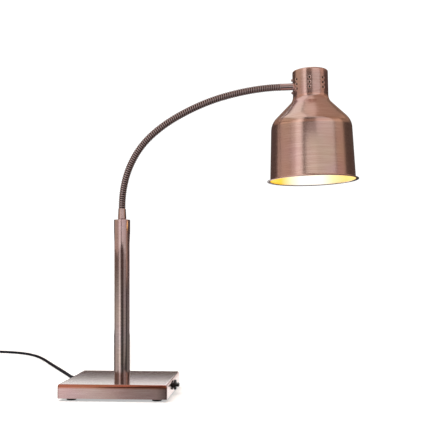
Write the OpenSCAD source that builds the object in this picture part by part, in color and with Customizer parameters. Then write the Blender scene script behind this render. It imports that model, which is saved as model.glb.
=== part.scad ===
// Heat lamp warmer: a weighted square base, a tube column, a flexible arm and a
// bell-shaped shade round an infrared reflector lamp, with a dimmer and a mains lead.
// Millimetres, +Z up. The origin is on the floor, on the column's axis.
// The arm leans towards +X, the dimmer is on the +X side, the lead leaves at +Y.

/* [Base] */
// side of the square base
base_w = 200; // [160:1:260]
// height of the sheet cover
base_h = 26; // [22:0.5:40]
// sheet thickness of the cover
cover_t = 1.5; // [1:0.1:3]
// radius of the cover's upright corners
corner_r = 3; // [2:0.5:10]
// thickness of the bottom plate
plate_t = 2; // [1.5:0.5:4]
// room left beside the ballast, towards +X and -X
ballast_side = 36; // [30:1:60]
// room left before and behind the ballast
ballast_end = 10; // [6:1:40]
// thickness of the ballast
ballast_t = 17; // [8:0.5:18]
// diameter of a foot
foot_d = 18; // [12:0.5:25]
// height of a foot
foot_h = 5; // [4.5:0.5:12]
// distance of a foot's centre from the base's sides
foot_inset = 21; // [12:1:40]

/* [Column] */
// outside diameter of the column
column_d = 31; // [25:0.5:40]
// wall of the column
column_t = 1.5; // [1:0.1:3]
// length of the column
column_l = 304; // [200:1:450]
// outside diameter of the hollow stud that holds the column
stud_d = 12; // [10:1:16]
// height of the ferrule's tapered part
ferrule_h = 21; // [12:1:40]
// how much wider than the arm the ferrule stands on the column
ferrule_flare = 2.8; // [0:0.1:8]

/* [Arm] */
// outside diameter of the flexible arm
arm_d = 13.6; // [12:0.1:18]
// length of one arm link along its curve
link_l = 52.3; // [45:0.1:60]
// diameter of the channel for the leads
channel_d = 6; // [4:0.5:7]
// length of the smooth rod between the arm and the shade
rod_l = 26; // [15:1:60]
// how much thinner than the arm the smooth rod is
rod_step = 0.6; // [0:0.1:1]

/* [Shade] */
// outside diameter at the foot of the body
body_d = 161; // [140:1:215]
// width of the flange round the rim
flange_w = 6; // [2:0.5:12]
// how much narrower the body is at its shoulder
body_taper = 8; // [0:1:20]
// outside diameter of the neck
neck_d = 67; // [60:0.5:90]
// height of the shade
shade_h = 208; // [190:1:260]
// depth of the arm's rod under the shade's top
rod_drop = 28; // [24:1:40]
// sheet thickness of the shade
shade_t = 1.2; // [0.8:0.1:2]
// diameter of a vent hole
vent_d = 4; // [2:0.1:5]
// angle between two columns of vent holes
vent_step = 48; // [40:1:50]

/* [Lamp] */
// diameter of the reflector lamp
bulb_d = 125; // [95:1:125]
// height of the lamp's face over the rim
bulb_face_h = 16; // [10:1:40]
// diameter of the lamp's screw cap
cap_d = 26.4; // [26:0.1:27]
// outside diameter of the lamp holder
holder_d = 40; // [36:0.5:44]

/* [Dimmer] */
// diameter of the knob's skirt
knob_d = 19.4; // [16:0.1:24]
// height of the skirt
skirt_h = 4.4; // [3:0.1:8]
// width of the grip bar
bar_w = 7; // [4:0.1:10]
// height of the grip bar over the skirt
bar_h = 5.6; // [3:0.1:10]
// diameter of the dimmer's shaft
shaft_d = 6; // [4:0.5:6]

/* [Mains lead] */
// diameter of the lead
cord_d = 7; // [6:0.1:8]
// distance of the gland from the base's side at -X
gland_inset = 20; // [14:1:100]
// length of the gland outside the cover
gland_l = 30; // [20:1:60]

/* [Hidden] */

$fn = 64;
eps = 0.01;
// clearance between parts that fit together, and in a running fit
fit = 0.15;
run = 0.05;
// bend of each arm link, from the column to the shade
turns = [14, 17, 18, 11, 7, 8, 6, 7.5];
links = len(turns);

base_top = foot_h + base_h;
plate_top = foot_h + plate_t;
ballast_top = plate_top + ballast_t;
face = base_w / 2;
foot_p = face - foot_inset;
ballast_x = base_w - 2 * ballast_side;
ballast_y = base_w - 2 * ballast_end;
screw_d = 4;
screw_hole_d = screw_d + 0.3;
screw_head_d = 7.6;
screw_head_h = 2.4;
nut_h = 3.2;
nut_d = 8;
plate_screw_l = 9;
plate_screw_head_h = 2;
ballast_hole_h = 8;
// a foot's recess, and the rubber left between its screw's head and the plate
recess_d = 9;
recess_h = 1.6;
foot_seat = 0.6;
foot_nut_top = plate_top + nut_h;

column_top = base_top + column_l;
ferrule_d = arm_d + ferrule_flare;
rod_d = arm_d - rod_step;
bore_d = column_d - 2 * column_t;
foot_plug_h = 14;
cap_h = 10;
stud_bore_d = 8;
stud_nut_d = 22;
stud_nut_h = 6;
stud_nut_z = plate_top + 1;
stud_bottom = plate_top + 0.5;
stud_top = base_top + foot_plug_h - 1;
// room beside the stud's nut for a socket spanner, and over it
nut_room = 2;
nut_room_h = 2.5;
spigot_d = 10;
// how much wider than the arm the ferrule ends
ferrule_step = 0.8;
// how much thinner than its channel the bundle of leads is
lead_slack = 1;

arm_r = arm_d / 2;
// balls that join the links, with the wall left round their sockets
socket_wall = 1.1;
gap = 0.3;
ball_r = arm_r - socket_wall - gap;
// the most that one joint turns, and the room a link leaves for it before the next one
joint_turn = 14;
end_gap = arm_r * sin(joint_turn) + 0.5;
// the arm seen between the ferrule and the first joint
arm_lead = 3.5;
first_joint_z = column_top + ferrule_h + arm_lead;

shade_tilt = bend(links) - 90;
rim_d = body_d + 2 * flange_w;
shoulder_d = body_d - body_taper;
rod_h = shade_h - rod_drop;
shoulder_r = 32;
hollow_r = 21;
top_r = 3;
// the shade over its shoulder: the cone, the hollow curve and the neck
upper_shade_h = 112;
shoulder_h = shade_h - upper_shade_h;
lip_h = 1.6;
vent_row = 9;
wall_in = neck_d / 2 - shade_t;
rod_nut_h = 4;
rod_nut_d = 16;
bracket_t = 1.5;
bracket_w = 16;
bracket_x = sqrt(pow(wall_in - 0.1, 2) - pow(bracket_w / 2, 2));
bracket_reach = 9;
bracket_foot = 6;
holder_screw_l = 8;
holder_head_h = 2.2;
holder_head_room = 1.1;
holder_top = rod_drop - shade_t - holder_head_room - holder_head_h - bracket_t;
holder_l = 43;
holder_bottom = holder_top - holder_l;
holder_bore_d = cap_d + 1;
holder_bore_l = 28;
collar_h = 8;
collar_step = 2;
contact_h = 3;
contact_d = 12;
cap_l = 24;
cap_tip_h = 3;
cap_tip_d = 9;
lamp_top = holder_bottom + holder_bore_l - contact_h - cap_l;
bracket_screw_p = 12;
head_d = 5;
head_h = 3;
bracket_nut_d = 6.6;
screw_tip = 0.6;
glass_t = 1.2;
// the lamp: the round of its face, the height of its widest place, and its neck
face_round = 26;
face_dome = 3;
wide_h = 40;
glass_neck_r = 16;
glass_neck_l = 12;

// the terminal block's size, its three bores and its distance from the ballast
block_size = [24, 36, 12];
block_bore_d = 3;
block_gap = 3;

knob_z = foot_h + base_h / 2;
knob_gap = 1;
dimmer_l = 16;
dimmer_w = 18;
bushing_d = 9;
bushing_out = 1.8;
bushing_tip = 0.4;
dimmer_back = 3;
dimmer_nut_d = 12;
knob_room_d = 15;
knob_room_h = 2.4;
// the knob's wall over the shaft's end, and how far the grip stops inside the skirt
knob_lid = 2;
grip_step = 1;

gland_x = face - gland_inset;
gland_z = foot_h + 10;
gland_d = 12;
gland_nut_d = 17;
// wall of a strain relief round the lead at its thin end
relief_t = 1.2;
flange_d = 16;
flange_h = 4;
gland_in = 8;

// The lead's route from the gland to the coil, laid by hand for a gland at [-80, 100] and 15 high.
lead_route = [
    [-80, 130, 15], [-80, 143, 14.9], [-83, 157, 13.6], [-90.5, 169, 11.2], [-101.5, 177.5, 8.6],
    [-114, 181.5, 6.2], [-125, 183, 4.6], [-136, 186.5, 3.8], [-146, 193.5, 3.5],
    [-153.5, 203.5, 3.5], [-159.5, 216, 3.5], [-167, 232, 3.5], [-177, 253, 3.5], [-191, 282, 3.5],
    [-209, 319, 3.5], [-230, 362, 3.5], [-251, 405, 3.5], [-272, 449, 3.5], [-299, 505, 3.5],
    [-326, 558, 3.5], [-345, 591, 3.5], [-364, 619, 3.5], [-391, 652, 3.5], [-426, 682, 3.5],
    [-470, 703, 3.5], [-515, 712, 3.6], [-555, 713.5, 4], [-590, 713.5, 4.5]
];
tail_route = [
    [-635, 655, 11.5], [-635, 644, 12.2], [-635, 632, 14.4], [-635, 620, 17.2], [-635, 608, 18.8],
    [-635, 597, 19]
];
coil_at = [-590, 668.5];
coil_r = 41.5;
coil_z = 1;
coil_w = 2 * cord_d;
tie_w = 8;
tie_t = 0.8;
tie_at = -90;
plug_at = [-635, 597, 19];
plug_l = 52;
plug_d = 38;
plug_face_l = 16;
pin_d = 4.8;
pin_l = 19;
pin_gap = 19;
earth_w = 5;
earth_t = 1;
earth_in = 2.4;
notch_in = 3;
// the plug swells in steps from its strain relief to its face
plug_relief_l = 14;
plug_relief_d = 15;
plug_neck_d = 20;
plug_shoulder_d = 32;
plug_cone_l = plug_l - plug_face_l - plug_relief_l;
// what the route moves by when the gland is somewhere else
lead_shift = [-gland_x - lead_route[0].x, face + gland_l - lead_route[0].y, 0];

copper = [0.66, 0.5, 0.45];
dark_copper = [0.45, 0.35, 0.34];
steel = [0.6, 0.6, 0.62];
black = [0.09, 0.08, 0.08];
ceramic = [0.9, 0.88, 0.84];
lead_colour = [0.11, 0.12, 0.17];

// Arm geometry

// heading of the arm at joint i, from the upright
function bend(i) = i == 0 ? 0 : bend(i - 1) + turns[i - 1];
function bend_r(i) = link_l / (turns[i - 1] * PI / 180);
function chord(i) = 2 * bend_r(i) * sin(turns[i - 1] / 2);
function along(a) = [sin(a), 0, cos(a)];
// place of joint i: joint 0 is over the column, joint `links` is at the rod
function joint_at(i) = i == 0
    ? [0, 0, first_joint_z]
    : joint_at(i - 1) + chord(i) * along(bend(i - 1) + turns[i - 1] / 2);
shade_at = joint_at(links) + (rod_l + neck_d / 2) * along(bend(links));

module at_joint(i) {
    translate(joint_at(i)) rotate([0, bend(i), 0]) children();
}

// the shade's own frame: its axis upright, the rod along +X at z = 0
module in_shade() {
    translate(shade_at) rotate([0, shade_tilt, 0]) children();
}

// link i's arc of round bar: it starts upright, bends towards +X and stops `end_gap` short of its far joint
module arc_bar(i) {
    r = bend_r(i);
    translate([r, 0, 0]) rotate([90, 0, 180])
        rotate_extrude(angle = turns[i - 1] - end_gap / r * 180 / PI) translate([r, 0]) circle(r = arm_r);
}

// The ball of link i sits in the socket of link i + 1. The channel is drilled straight from joint to joint.
module arm_link(i) {
    color(dark_copper) difference() {
        union() {
            at_joint(i - 1) arc_bar(i);
            at_joint(i) sphere(r = ball_r);
        }
        at_joint(i - 1) sphere(r = ball_r + gap);
        at_joint(i - 1) rotate([0, turns[i - 1] / 2, 0]) cylinder(h = chord(i) + 2 * ball_r, d = channel_d);
    }
}

// Small shapes

module rounded_square(w, r) {
    square([w - 2 * r, w], center = true);
    square([w, w - 2 * r], center = true);
    for (x = [-1, 1], y = [-1, 1]) translate([x, y] * (w / 2 - r)) circle(r = r);
}

module hex_nut(d, h, hole) {
    difference() {
        cylinder(h = h, d = d, $fn = 6);
        translate([0, 0, -eps]) cylinder(h = h + 2 * eps, d = hole);
    }
}

module at_feet() {
    for (x = [-1, 1], y = [-1, 1]) translate([x * foot_p, y * foot_p, 0]) children();
}

// a screw that points along +Z, its head below z = 0
module screw(d, l, head, head_l) {
    translate([0, 0, -head_l]) cylinder(h = head_l, d = head);
    translate([0, 0, -eps]) cylinder(h = l + eps, d = d);
}

// Base

module base_cover() {
    color(copper) difference() {
        translate([0, 0, foot_h]) linear_extrude(base_h) rounded_square(base_w, corner_r);
        translate([0, 0, foot_h - eps]) linear_extrude(base_h - cover_t + eps)
            rounded_square(base_w - 2 * cover_t, corner_r - cover_t / 2);
        translate([0, 0, base_top - 2 * cover_t]) cylinder(h = 4 * cover_t, d = stud_d + 2 * fit);
        translate([face - 2 * cover_t, 0, knob_z]) rotate([0, 90, 0])
            cylinder(h = 4 * cover_t, d = bushing_d + 2 * fit);
        translate([-gland_x, face + 2 * cover_t, gland_z]) rotate([90, 0, 0])
            cylinder(h = 4 * cover_t, d = gland_d + 2 * fit);
    }
}

module base_plate() {
    inside = base_w - 2 * cover_t - 4 * fit;
    color(steel) difference() {
        translate([0, 0, foot_h]) linear_extrude(plate_t) rounded_square(inside, corner_r - cover_t / 2);
        translate([0, 0, foot_h - eps]) cylinder(h = plate_t + 2 * eps, d = stud_nut_d + 2 * nut_room);
        at_feet() cylinder(h = 3 * base_h, d = screw_hole_d);
        for (y = [-1, 1]) translate([0, y * ballast_y / 3, 0]) cylinder(h = base_h, d = screw_hole_d);
    }
}

module ballast() {
    color(steel) difference() {
        translate([-ballast_x / 2, -ballast_y / 2, plate_top]) cube([ballast_x, ballast_y, ballast_t]);
        cylinder(h = 3 * base_h, d = stud_d + 2 * fit);
        translate([0, 0, plate_top - eps])
            cylinder(h = stud_nut_h + nut_room_h, d = stud_nut_d + 2 * nut_room);
        for (y = [-1, 1]) translate([0, y * ballast_y / 3, plate_top - eps])
            cylinder(h = ballast_hole_h, d = screw_d + 2 * run);
    }
}

module plate_screws() {
    color(steel) for (y = [-1, 1]) translate([0, y * ballast_y / 3, foot_h])
        screw(screw_d, plate_screw_l, screw_head_d, plate_screw_head_h);
}

module rubber_feet() {
    color(black) at_feet() difference() {
        cylinder(h = foot_h, d = foot_d);
        translate([0, 0, -eps]) cylinder(h = recess_h, d = recess_d);
        translate([0, 0, -eps]) cylinder(h = foot_h - foot_seat + eps, d = screw_head_d + 4 * fit);
        cylinder(h = 2 * foot_h, d = screw_hole_d);
    }
}

module foot_screws() {
    color(steel) at_feet() translate([0, 0, foot_h - foot_seat])
        screw(screw_d, foot_seat + plate_t + nut_h + 1, screw_head_d, screw_head_h);
}

module foot_nuts() {
    color(steel) at_feet() translate([0, 0, plate_top]) hex_nut(nut_d, nut_h, screw_d + 2 * run);
}

// Column

module column_tube() {
    color(copper) translate([0, 0, base_top]) difference() {
        cylinder(h = column_l, d = column_d);
        translate([0, 0, -eps]) cylinder(h = column_l + 2 * eps, d = bore_d);
    }
}

// the plug in the foot of the column that the stud screws into
module column_foot() {
    color(steel) translate([0, 0, base_top]) difference() {
        cylinder(h = foot_plug_h, d = bore_d - 2 * run);
        translate([0, 0, -eps]) cylinder(h = foot_plug_h + 2 * eps, d = stud_d + 2 * run);
    }
}

module column_stud() {
    color(steel) translate([0, 0, stud_bottom]) difference() {
        cylinder(h = stud_top - stud_bottom, d = stud_d);
        translate([0, 0, -eps]) cylinder(h = stud_top, d = stud_bore_d);
    }
}

module stud_nut() {
    color(steel) translate([0, 0, stud_nut_z]) hex_nut(stud_nut_d, stud_nut_h, stud_d + 2 * run);
}

// the plug in the top of the column that the ferrule screws into
module column_cap() {
    color(copper) translate([0, 0, column_top - cap_h]) difference() {
        cylinder(h = cap_h, d = bore_d - 2 * run);
        translate([0, 0, -eps]) cylinder(h = cap_h + 2 * eps, d = spigot_d + 2 * run);
    }
}

module lower_ferrule() {
    color(copper) difference() {
        union() {
            translate([0, 0, column_top - cap_h]) cylinder(h = cap_h + eps, d = spigot_d);
            translate([0, 0, column_top]) cylinder(h = ferrule_h, d1 = ferrule_d, d2 = arm_d + ferrule_step);
            translate([0, 0, column_top]) cylinder(h = first_joint_z - end_gap - column_top, r = arm_r);
            at_joint(0) sphere(r = ball_r);
        }
        translate([0, 0, column_top - 2 * cap_h]) cylinder(h = 10 * cap_h, d = channel_d);
    }
}

// the leads inside the column, which stop short of the arm
module column_lead() {
    color(lead_colour) translate([0, 0, stud_nut_z])
        cylinder(h = column_top + ferrule_h - stud_nut_z, d = channel_d - lead_slack);
}

// Inside the base

module terminal_block() {
    color(ceramic) translate([-ballast_x / 2 - block_gap - block_size.x, 0, plate_top]) difference() {
        cube(block_size);
        for (y = [1, 3, 5]) translate([block_size.x / 2, y * block_size.y / 6, -eps])
            cylinder(h = block_size.z + 2 * eps, d = block_bore_d);
    }
}

module dimmer_body() {
    back = face - cover_t - dimmer_l;
    color(black) difference() {
        union() {
            translate([back, -dimmer_w / 2, knob_z - dimmer_w / 2]) cube([dimmer_l, dimmer_w, dimmer_w]);
            translate([face - cover_t - eps, 0, knob_z]) rotate([0, 90, 0])
                cylinder(h = cover_t + bushing_out + bushing_tip + eps, d = bushing_d);
        }
        translate([back + dimmer_back, 0, knob_z]) rotate([0, 90, 0])
            cylinder(h = 3 * dimmer_l, d = shaft_d + 2 * run);
    }
}

module dimmer_nut() {
    color(steel) translate([face, 0, knob_z]) rotate([0, 90, 0])
        hex_nut(dimmer_nut_d, bushing_out, bushing_d + 2 * run);
}

module dimmer_shaft() {
    back = face - cover_t - dimmer_l + dimmer_back + run;
    tip = face + knob_gap + skirt_h + bar_h - knob_lid;
    color(steel) translate([back, 0, knob_z]) rotate([0, 90, 0]) cylinder(h = tip - back, d = shaft_d);
}

module dimmer_knob() {
    color(black) translate([face + knob_gap, 0, knob_z]) rotate([0, 90, 0]) difference() {
        union() {
            cylinder(h = skirt_h, d = knob_d);
            translate([0, 0, skirt_h - eps]) intersection() {
                cylinder(h = bar_h + eps, d = knob_d - grip_step);
                translate([-bar_w / 2, -knob_d, 0]) cube([bar_w, 2 * knob_d, bar_h + eps]);
            }
        }
        translate([0, 0, -eps]) cylinder(h = knob_room_h, d = knob_room_d);
        translate([0, 0, -eps]) cylinder(h = skirt_h + bar_h - knob_lid + 2 * eps, d = shaft_d + 2 * run);
    }
}

// Shade

// The shade's outline as a closed 2D shape, set in from the outside by `inset`.
// A straight flank, a rounded shoulder, a 45 degree cone, a hollow curve into the
// upright neck and a rounded top edge.
function arc(c, r, a0, a1, n) =
    [for (k = [0:n]) let (a = a0 + (a1 - a0) * k / n) c + r * [cos(a), sin(a)]];

function outline(inset) =
    let (
        s = [shoulder_d / 2 - shoulder_r, shoulder_h],
        // the 45 degree line that touches both arcs: r + h is the same all along it
        reach = s.x + s.y + shoulder_r * sqrt(2),
        n = [neck_d / 2 + hollow_r, reach + hollow_r * sqrt(2) - neck_d / 2 - hollow_r],
        t = [neck_d / 2 - top_r, shade_h - top_r]
    )
    concat(
        [[body_d / 2 - inset, 0]],
        arc(s, shoulder_r - inset, 0, 45, 8),
        arc(n, hollow_r + inset, 225, 180, 8),
        arc(t, top_r - inset, 0, 90, 5),
        [[0, shade_h - inset], [0, 0]]
    );

module lamp_shade() {
    color(copper) in_shade() difference() {
        translate([0, 0, -rod_h]) union() {
            rotate_extrude() polygon(outline(0));
            cylinder(h = lip_h, d = rim_d);
        }
        translate([0, 0, -rod_h - eps]) rotate_extrude() polygon(outline(shade_t));
        for (k = [-3:3], z = [-1:1]) rotate([0, 0, k * vent_step]) translate([0, 0, z * vent_row])
            rotate([0, 90, 0]) cylinder(h = neck_d, d = vent_d);
        rotate([0, -90, 0]) cylinder(h = neck_d, d = spigot_d + 2 * fit);
        for (z = [-1, 1]) translate([0, 0, z * bracket_screw_p]) rotate([0, -90, 0])
            cylinder(h = neck_d, d = screw_hole_d);
    }
}

module upper_rod() {
    neck_r = neck_d / 2;
    // the spigot's thread stands a little out of its nut, and the rod runs on into the neck's curve
    spigot_x = -bracket_x + bracket_t + rod_nut_h + 1;
    over = 2;
    color(copper) difference() {
        union() {
            difference() {
                at_joint(links) cylinder(h = rod_l + over, d = rod_d);
                at_joint(links) sphere(r = ball_r + gap);
                in_shade() cylinder(h = 4 * rod_d, r = neck_r + run, center = true);
            }
            in_shade() translate([spigot_x, 0, 0]) rotate([0, -90, 0])
                cylinder(h = neck_r + spigot_x + 1, d = spigot_d);
        }
        at_joint(links) cylinder(h = 3 * rod_l, d = channel_d);
    }
}

module rod_nut() {
    color(steel) in_shade() translate([-bracket_x + bracket_t, 0, 0]) rotate([0, 90, 0])
        hex_nut(rod_nut_d, rod_nut_h, spigot_d + 2 * run);
}

// an angle inside the neck that the lamp holder hangs from
module holder_bracket() {
    foot_z = -bracket_screw_p - bracket_foot;
    color(steel) in_shade() difference() {
        union() {
            translate([-bracket_x, -bracket_w / 2, foot_z])
                cube([bracket_t, bracket_w, holder_top + bracket_t - foot_z]);
            translate([-bracket_x, -bracket_w / 2, holder_top])
                cube([bracket_x + bracket_reach, bracket_w, bracket_t]);
        }
        rotate([0, -90, 0]) cylinder(h = neck_d, d = spigot_d + 2 * fit);
        for (z = [-1, 1]) translate([0, 0, z * bracket_screw_p]) rotate([0, -90, 0])
            cylinder(h = neck_d, d = screw_hole_d);
        cylinder(h = shade_h, d = screw_hole_d);
    }
}

module bracket_screws() {
    color(copper) in_shade() for (z = [-1, 1]) translate([-neck_d / 2 - run, 0, z * bracket_screw_p])
        rotate([0, 90, 0])
            screw(screw_d - 2 * run, neck_d / 2 - bracket_x + bracket_t + nut_h + screw_tip, head_d, head_h);
}

module bracket_nuts() {
    color(steel) in_shade() for (z = [-1, 1]) translate([-bracket_x + bracket_t, 0, z * bracket_screw_p])
        rotate([0, 90, 0]) hex_nut(bracket_nut_d, nut_h, screw_d);
}

// Lamp

module lamp_holder() {
    color(ceramic) in_shade() difference() {
        union() {
            translate([0, 0, holder_bottom]) cylinder(h = holder_l, d = holder_d);
            translate([0, 0, holder_bottom]) cylinder(h = collar_h, d = holder_d + 2 * collar_step);
        }
        translate([0, 0, holder_bottom - eps]) cylinder(h = holder_bore_l + eps, d = holder_bore_d);
        translate([0, 0, holder_top - holder_screw_l]) cylinder(h = holder_l, d = screw_d + 2 * run);
    }
}

module holder_screw() {
    color(steel) in_shade() translate([0, 0, holder_top + bracket_t]) rotate([180, 0, 0])
        screw(screw_d, holder_screw_l, screw_head_d, holder_head_h);
}

module holder_contact() {
    color(steel) in_shade() translate([0, 0, holder_bottom + holder_bore_l - contact_h])
        cylinder(h = contact_h, d = contact_d);
}

module bulb_cap() {
    color(steel) in_shade() translate([0, 0, lamp_top]) {
        cylinder(h = cap_l - cap_tip_h, d = cap_d);
        translate([0, 0, cap_l - cap_tip_h - eps])
            cylinder(h = cap_tip_h + eps, d1 = cap_d - 4, d2 = cap_tip_d);
    }
}

// The lamp's outline from its cap down to its face, set in by `inset`.
function glass_outline(inset) =
    let (
        r = bulb_d / 2,
        face_z = bulb_face_h - rod_h,
        wide_z = face_z + wide_h
    )
    concat(
        [[0, face_z + inset]],
        arc([r - face_round, face_z + face_round + face_dome], face_round - inset, -80, 0, 6),
        [[r - inset, wide_z]],
        // the cone behind the face, in three slopes
        [[r * 0.9 - inset, wide_z + 24], [r * 0.62 - inset, wide_z + 54]],
        [[glass_neck_r + 6 - inset, wide_z + 76]],
        [[glass_neck_r - inset, lamp_top - glass_neck_l], [cap_d / 2 - 1 - inset, lamp_top]],
        [[0, lamp_top]]
    );

module bulb_glass() {
    color(ceramic) in_shade() difference() {
        rotate_extrude() polygon(glass_outline(0));
        translate([0, 0, eps]) rotate_extrude() polygon(glass_outline(glass_t));
    }
}

// Mains lead

module cable_gland() {
    color(black) translate([-gland_x, face, gland_z]) rotate([-90, 0, 0]) {
        cylinder(h = flange_h, d = flange_d);
        translate([0, 0, flange_h - eps])
            cylinder(h = gland_l - flange_h + eps, d1 = gland_d, d2 = cord_d + 2 * relief_t);
        translate([0, 0, -cover_t - gland_in]) cylinder(h = cover_t + gland_in + eps, d = gland_d);
    }
}

module gland_nut() {
    color(black) translate([-gland_x, face - cover_t - nut_h, gland_z]) rotate([-90, 0, 0])
        hex_nut(gland_nut_d, nut_h, gland_d + 2 * run);
}

// a smooth curve through the route's points, with `n` rings to a step
function blend(p0, p1, p2, p3, t) =
    0.5 * (2 * p1 + (p2 - p0) * t + (2 * p0 - 5 * p1 + 4 * p2 - p3) * t * t
        + (3 * p1 - p0 - 3 * p2 + p3) * t * t * t);
function smooth_route(p, n) =
    let (m = len(p) - 1)
    concat([for (i = [0:m - 1], k = [0:n - 1])
        blend(p[max(i - 1, 0)], p[i], p[i + 1], p[min(i + 2, m)], k / n)], [p[m]]);

function unit(v) = v / norm(v);
function heading(p, i) = unit(p[min(i + 1, len(p) - 1)] - p[max(i - 1, 0)]);
function ring(c, t, r, sides) =
    let (u = unit(cross(t, [0, 0, 1])), v = cross(u, t))
    [for (k = [0:sides - 1]) c + r * (cos(360 * k / sides) * u + sin(360 * k / sides) * v)];

module tube(route, n, d, sides = 10) {
    p = smooth_route(route, n);
    rings = len(p);
    points = [for (i = [0:rings - 1]) each ring(p[i], heading(p, i), d / 2, sides)];
    flanks = [for (i = [0:rings - 2], k = [0:sides - 1])
        let (a = i * sides + k, b = i * sides + (k + 1) % sides) [a, b, b + sides, a + sides]];
    start = [for (k = [sides - 1:-1:0]) k];
    end = [for (k = [0:sides - 1]) (rings - 1) * sides + k];
    polyhedron(points, concat([start], flanks, [end]));
}

// a point of the route: its height runs from the lead's own radius on the floor to the gland's height
function laid(p) =
    let (low = cord_d / 2, floor_z = 3.5, start_z = lead_route[0].z)
    [p.x, p.y, low + (p.z - floor_z) * (gland_z - low) / (start_z - floor_z)];

module cord_lead() {
    color(lead_colour) translate(lead_shift) tube([for (p = lead_route) laid(p)], 2, cord_d);
}

module cord_tail() {
    color(lead_colour) translate(lead_shift) tube(tail_route, 2, cord_d);
}

module cord_coil() {
    color(lead_colour) translate(lead_shift) translate([coil_at.x, coil_at.y, coil_z]) rotate_extrude()
        translate([coil_r - coil_w / 2, 0]) square(coil_w);
}

module cord_tie() {
    room = 0.1;
    turn = tie_w / coil_r * 180 / PI;
    color(black) translate(lead_shift) translate([coil_at.x, coil_at.y, coil_z + coil_w / 2])
        rotate([0, 0, tie_at]) rotate_extrude(angle = turn) translate([coil_r, 0]) difference() {
            square(coil_w + 2 * (tie_t + room), center = true);
            square(coil_w + 2 * room, center = true);
        }
}

module at_plug() {
    translate(lead_shift) translate(plug_at) rotate([90, 0, 0]) children();
}

module plug_body() {
    color(black) at_plug() {
        cylinder(h = plug_relief_l, d1 = cord_d + 2 * relief_t, d2 = plug_relief_d);
        translate([0, 0, plug_relief_l - eps])
            cylinder(h = plug_cone_l + 2 * eps, d1 = plug_neck_d, d2 = plug_shoulder_d);
        translate([0, 0, plug_l - plug_face_l]) difference() {
            cylinder(h = plug_face_l, d = plug_d);
            for (x = [-1, 1]) translate([x * plug_d / 2, 0, plug_face_l / 2])
                cube([2 * notch_in, earth_w + 1, 2 * plug_face_l], center = true);
        }
    }
}

module plug_pins() {
    color(steel) at_plug() for (x = [-1, 1]) translate([x * pin_gap / 2, 0, plug_l])
        cylinder(h = pin_l, d = pin_d);
}

module plug_earth() {
    color(steel) at_plug() for (x = [-1, 1])
        translate([x * (plug_d / 2 - earth_in), 0, plug_l - plug_face_l / 2])
            cube([earth_t, earth_w, plug_face_l], center = true);
}

base_cover();
base_plate();
ballast();
plate_screws();
rubber_feet();
foot_screws();
foot_nuts();
column_tube();
column_foot();
column_stud();
stud_nut();
column_cap();
lower_ferrule();
column_lead();
terminal_block();
dimmer_body();
dimmer_nut();
dimmer_shaft();
dimmer_knob();
for (i = [1:links]) arm_link(i);
upper_rod();
rod_nut();
lamp_shade();
holder_bracket();
bracket_screws();
bracket_nuts();
lamp_holder();
holder_screw();
holder_contact();
bulb_cap();
bulb_glass();
cable_gland();
gland_nut();
cord_lead();
cord_coil();
cord_tail();
cord_tie();
plug_body();
plug_pins();
plug_earth();
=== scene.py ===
import math

import bmesh
import bpy
import numpy as np
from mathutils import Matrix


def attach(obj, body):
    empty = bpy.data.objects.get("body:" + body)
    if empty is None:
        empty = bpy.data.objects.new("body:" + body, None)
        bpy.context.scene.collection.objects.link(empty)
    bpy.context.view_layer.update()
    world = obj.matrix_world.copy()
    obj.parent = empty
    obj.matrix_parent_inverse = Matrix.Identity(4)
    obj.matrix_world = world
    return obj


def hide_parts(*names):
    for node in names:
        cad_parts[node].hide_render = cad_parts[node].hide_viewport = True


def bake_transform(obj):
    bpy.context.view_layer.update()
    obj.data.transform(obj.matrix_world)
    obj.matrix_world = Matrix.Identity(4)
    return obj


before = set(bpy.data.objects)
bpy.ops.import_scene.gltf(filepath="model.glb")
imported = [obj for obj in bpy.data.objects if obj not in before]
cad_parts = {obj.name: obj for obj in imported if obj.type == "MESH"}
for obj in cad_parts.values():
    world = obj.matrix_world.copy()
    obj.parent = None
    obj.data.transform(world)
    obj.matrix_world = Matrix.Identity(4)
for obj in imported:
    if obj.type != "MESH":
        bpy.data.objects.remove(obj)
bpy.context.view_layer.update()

cadNodes = {o.name: o for o in bpy.data.objects if o.type == "MESH"}

# Heat lamp warmer: metres, Z up, the column stands on the origin and the arm reaches towards +X.

# Small helpers


# sRGB hex to the linear numbers that a shader wants
def linearColour(code, alpha=1.0):
    s = np.array([int(code[i:i + 2], 16) for i in (1, 3, 5)]) / 255
    lin = np.where(s <= 0.04045, s / 12.92, ((s + 0.055) / 1.055) ** 2.4)
    return (*lin.tolist(), alpha)


# adds a node: settings fill its properties and inputs, links name the socket that feeds each input
def addNode(tree, kind, settings={}, links={}):
    node = tree.nodes.new(kind)
    for key, value in settings.items():
        if key == "stops":
            ramp = node.color_ramp
            while len(ramp.elements) < len(value):
                ramp.elements.new(0.5)
            for element, (at, code) in zip(ramp.elements, value):
                element.position, element.color = at, linearColour(code)
        elif isinstance(key, int) or key in node.inputs:
            node.inputs[key].default_value = value
        else:
            setattr(node, key, value)
    for key, source in links.items():
        tree.links.new(source, node.inputs[key])
    return node


def newMaterial(name):
    material = bpy.data.materials.new(name)
    material.use_nodes = True
    material.node_tree.nodes.clear()
    return material, material.node_tree


def endMaterial(tree, shader):
    addNode(tree, "ShaderNodeOutputMaterial", {}, {"Surface": shader.outputs[0]})


# smooth step from 0 to 1 while x goes from a to b
def ease(x, a, b):
    t = np.clip((x - a) / (b - a), 0, 1)
    return t * t * (3 - 2 * t)


# quarter or part arc in a profile: centre (cx, cy), radius r, from angle a to angle b in degrees
def arcPoints(cx, cy, r, a, b, n=8):
    t = np.radians(np.linspace(a, b, n + 1))
    return np.stack([cx + r * np.cos(t), cy + r * np.sin(t)], 1)


# profile pieces, each a point or a list of points, put end to end
def profile(*pieces):
    return np.concatenate([np.atleast_2d(np.array(p, float)) for p in pieces])


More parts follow.
